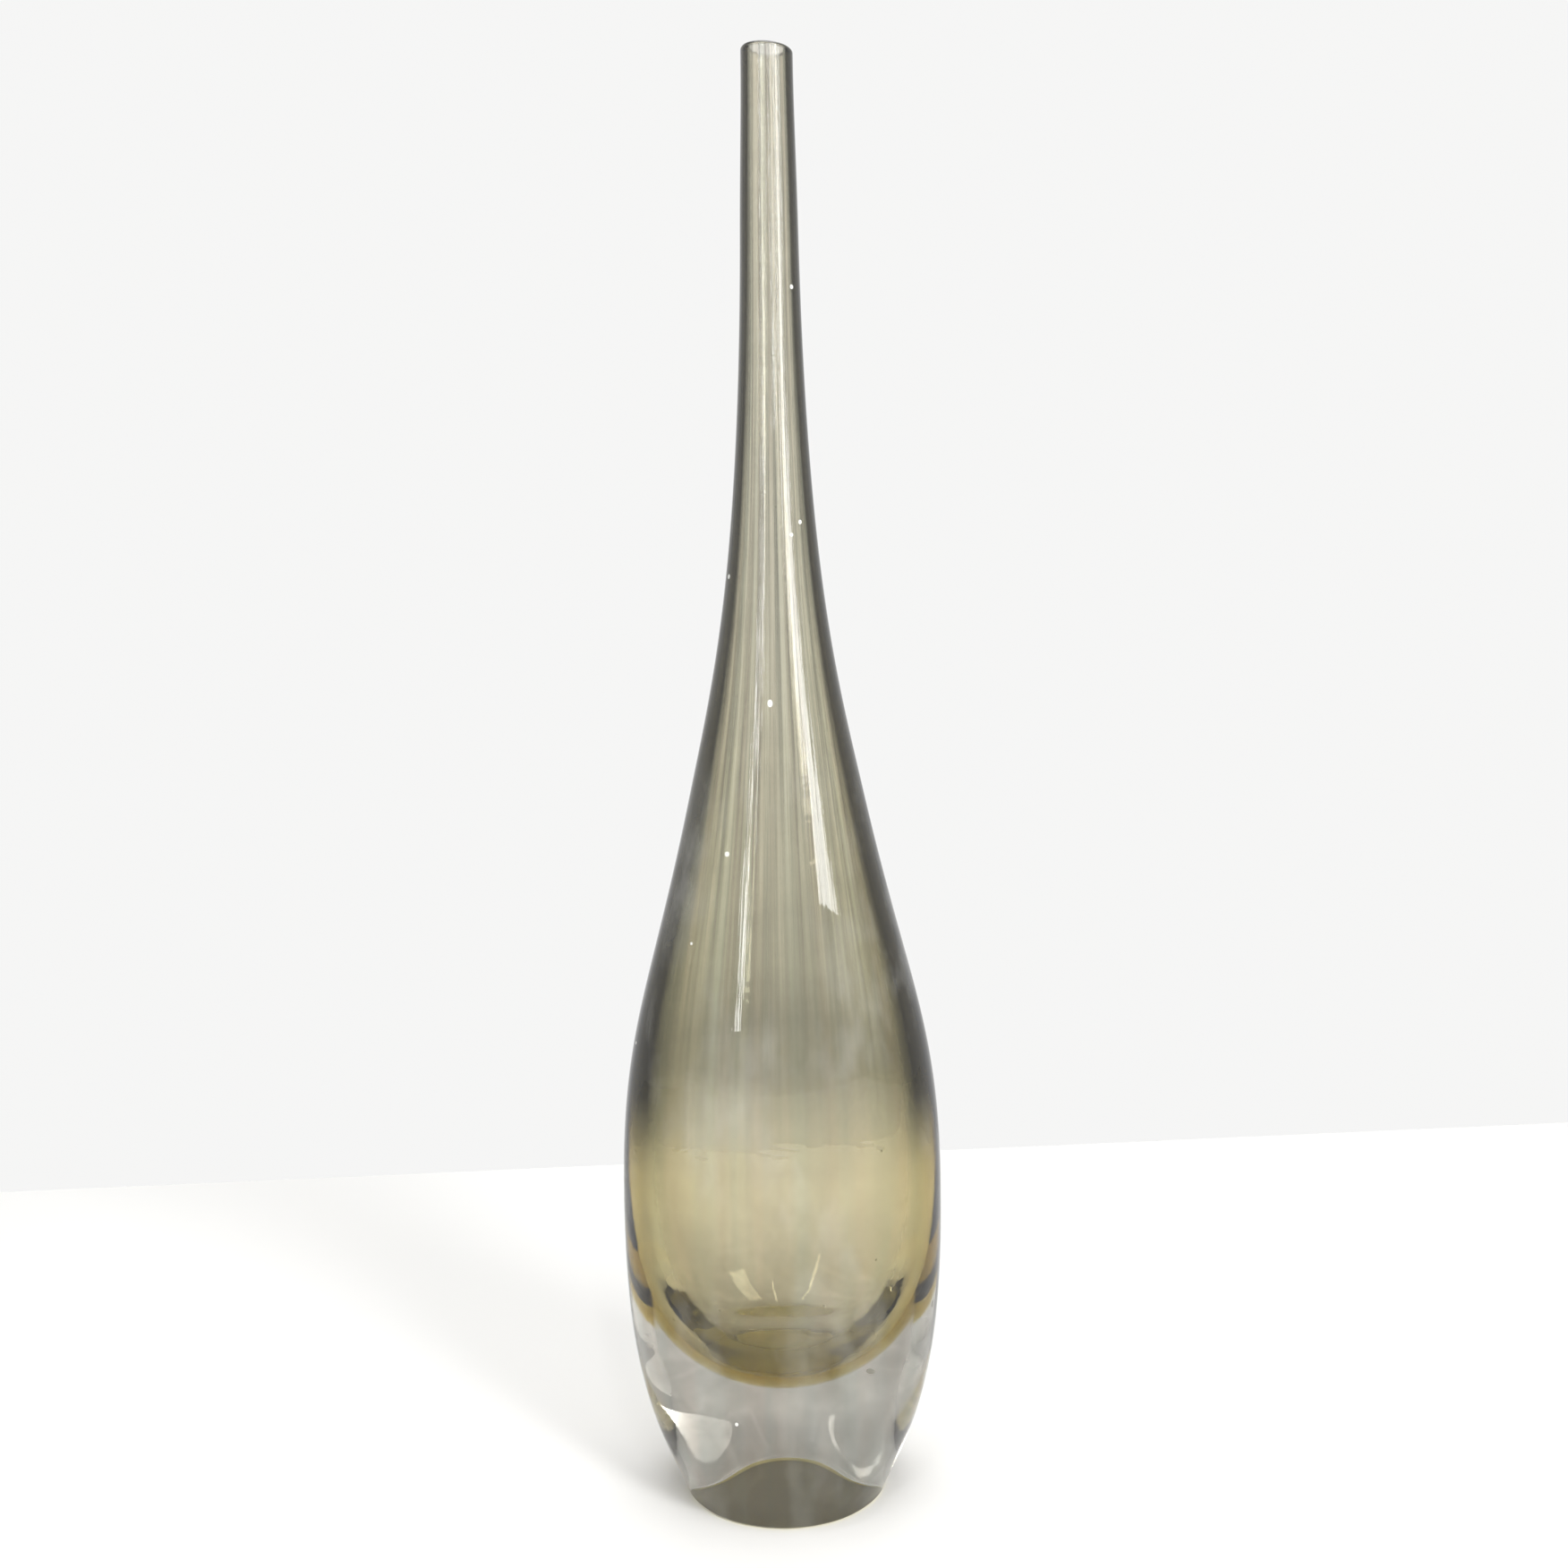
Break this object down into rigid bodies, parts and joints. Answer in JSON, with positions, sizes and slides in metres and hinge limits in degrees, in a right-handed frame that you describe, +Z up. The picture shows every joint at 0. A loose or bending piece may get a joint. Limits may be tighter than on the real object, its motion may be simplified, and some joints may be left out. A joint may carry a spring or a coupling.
{
  "type": "vase",
  "caption": "Tall teardrop bottle vase of cased glass with a flattened body: clear thick-based outer layer over a straw-coloured lining, long slim round neck, round flat foot.",
  "frame": {"origin": "centre of the flat foot, on the surface that the vase stands on", "axes": "+Z up along the vase's upright axis, towards the mouth; X along the body's width and Y along its depth, with the side in the picture facing -Y"},
  "size_m": [0.1, 0.068, 0.45],
  "materials": {
    "clear_glass": "fire-polished clear glass, ground flat foot",
    "straw_glass": "fire-polished pale straw glass"
  },
  "bodies": {
    "root": {"clear_casing": "clear_glass", "straw_lining": "straw_glass"}
  },
  "joints": []
}
